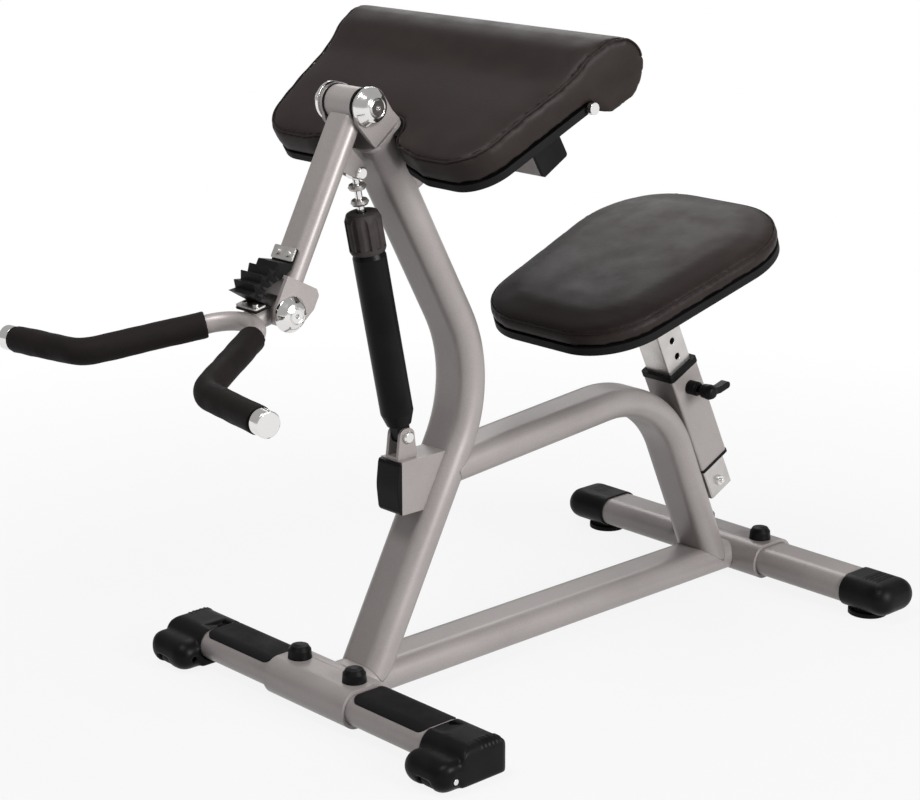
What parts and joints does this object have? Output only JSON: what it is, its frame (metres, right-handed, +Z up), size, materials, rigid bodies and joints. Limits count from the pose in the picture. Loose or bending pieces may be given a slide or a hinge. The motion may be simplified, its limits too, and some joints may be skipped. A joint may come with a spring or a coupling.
{
  "type": "biceps curl machine",
  "caption": "Seated biceps curl machine: steel tube frame, sloped arm pad, curl arm with hinged two-grip handle, adjustable damper and height-adjustable seat.",
  "frame": {"origin": "middle of the footprint on the floor", "axes": "+Z up, -Y towards the handle, +Y towards the seat, +X on the side of the seat's locking pin"},
  "size_m": [0.674, 1.2174, 0.9274],
  "materials": {
    "painted_steel": "satin metallic",
    "zinc_steel": "brushed",
    "chrome": "polished",
    "black_rubber": "matt",
    "black_plastic": "satin",
    "foam": "matt foam",
    "upholstery": "fine grain",
    "grip_tape": "gritty",
    "wood_board": "black stained",
    "cylinder_paint": "gloss black"
  },
  "bodies": {
    "frame": {"base_beam": "painted_steel", "front_upright": "painted_steel", "head_plate": "painted_steel", "rear_arch": "painted_steel", "front_crossbar": "painted_steel", "rear_crossbar": "painted_steel", "front_saddle": "painted_steel", "front_clamp": "painted_steel", "rear_saddle": "painted_steel", "rear_clamp": "painted_steel", "clamp_bolts": "chrome", "bolt_caps": "black_plastic", "grip_treads": "grip_tape", "front_end_cap_right": "black_plastic", "front_end_cap_left": "black_plastic", "rear_end_caps": "black_plastic", "rear_feet": "black_rubber", "wheel_axles": "chrome", "cylinder_bracket": "painted_steel", "bracket_end_cap": "black_plastic", "cylinder_clevis": "painted_steel", "cylinder_pin": "chrome", "fork_plates": "painted_steel", "pivot_shaft": "chrome", "pivot_caps": "chrome", "pad_support": "painted_steel", "support_end_caps": "black_plastic", "preacher_base": "wood_board", "preacher_pad": "upholstery", "pad_screws": "chrome", "seat_sleeve": "painted_steel", "sleeve_collars": "black_plastic", "pin_nut": "black_plastic"},
    "curl_arm": {"arm_barrel": "painted_steel", "barrel_bushes": "black_plastic", "arm_tube": "painted_steel", "arm_tab": "painted_steel", "tab_bolt": "chrome", "arm_fork": "painted_steel", "hinge_shaft": "chrome", "hinge_caps": "chrome", "bellows": "black_rubber", "bellows_clamp_top": "zinc_steel"},
    "handle": {"handle_barrel": "painted_steel", "handle_bars": "painted_steel", "foam_grips": "foam", "handle_plugs": "chrome", "bellows_clamp_low": "zinc_steel"},
    "damper_cylinder": {"cylinder_body": "cylinder_paint"},
    "damper_rod": {"piston_rod": "chrome", "stop_rings": "zinc_steel"},
    "damper_knob": {"adjuster_knob": "black_plastic"},
    "seat": {"seat_post": "zinc_steel", "post_stop_bolt": "chrome", "seat_plate": "painted_steel", "seat_base": "wood_board", "seat_pad": "upholstery"},
    "seat_pin": {"pop_pin": "black_plastic"},
    "right_wheel": {"wheel_right": "black_rubber"},
    "left_wheel": {"wheel_left": "black_rubber"}
  },
  "joints": [
    {"name": "arm_swing", "type": "hinge", "parent": "frame", "child": "curl_arm", "pos_m": [0, -0.23065, 0.837], "axis": [-1, 0, 0], "range_deg": [0, 100]},
    {"name": "handle_swing", "type": "hinge", "parent": "curl_arm", "child": "handle", "pos_m": [0, -0.36265, 0.58396], "axis": [-1, 0, 0], "range_deg": [0, 50], "deforming": ["bellows"]},
    {"name": "damper_tilt", "type": "hinge", "parent": "frame", "child": "damper_cylinder", "pos_m": [0, -0.14765, 0.371], "axis": [1, 0, 0], "range_deg": [0, 8.23]},
    {"name": "damper_stroke", "type": "slide", "parent": "damper_cylinder", "child": "damper_rod", "axis": [0, -0.2031, 0.9792], "range_m": [0, 0.12318]},
    {"name": "knob_turn", "type": "hinge", "parent": "damper_cylinder", "child": "damper_knob", "pos_m": [0, -0.14765, 0.371], "axis": [0, -0.2031, 0.9792], "range_deg": [0, 330]},
    {"name": "seat_slide", "type": "slide", "parent": "frame", "child": "seat", "axis": [0, -0.4337, 0.9011], "range_m": [-0.058, 0.029]},
    {"name": "pin_pull", "type": "slide", "parent": "frame", "child": "seat_pin", "axis": [1, 0, 0], "range_m": [-0.0084, 0]},
    {"name": "right_wheel_spin", "type": "hinge", "parent": "frame", "child": "right_wheel", "pos_m": [0, -0.33865, 0.0215], "axis": [1, 0, 0], "continuous": true},
    {"name": "left_wheel_spin", "type": "hinge", "parent": "frame", "child": "left_wheel", "pos_m": [0, -0.33865, 0.0215], "axis": [1, 0, 0], "continuous": true}
  ],
  "couplings": [
    {"joint": "damper_tilt", "follows": "arm_swing", "ratio": 0.081815},
    {"joint": "damper_stroke", "follows": "arm_swing", "m_per_rad": 0.070464}
  ]
}
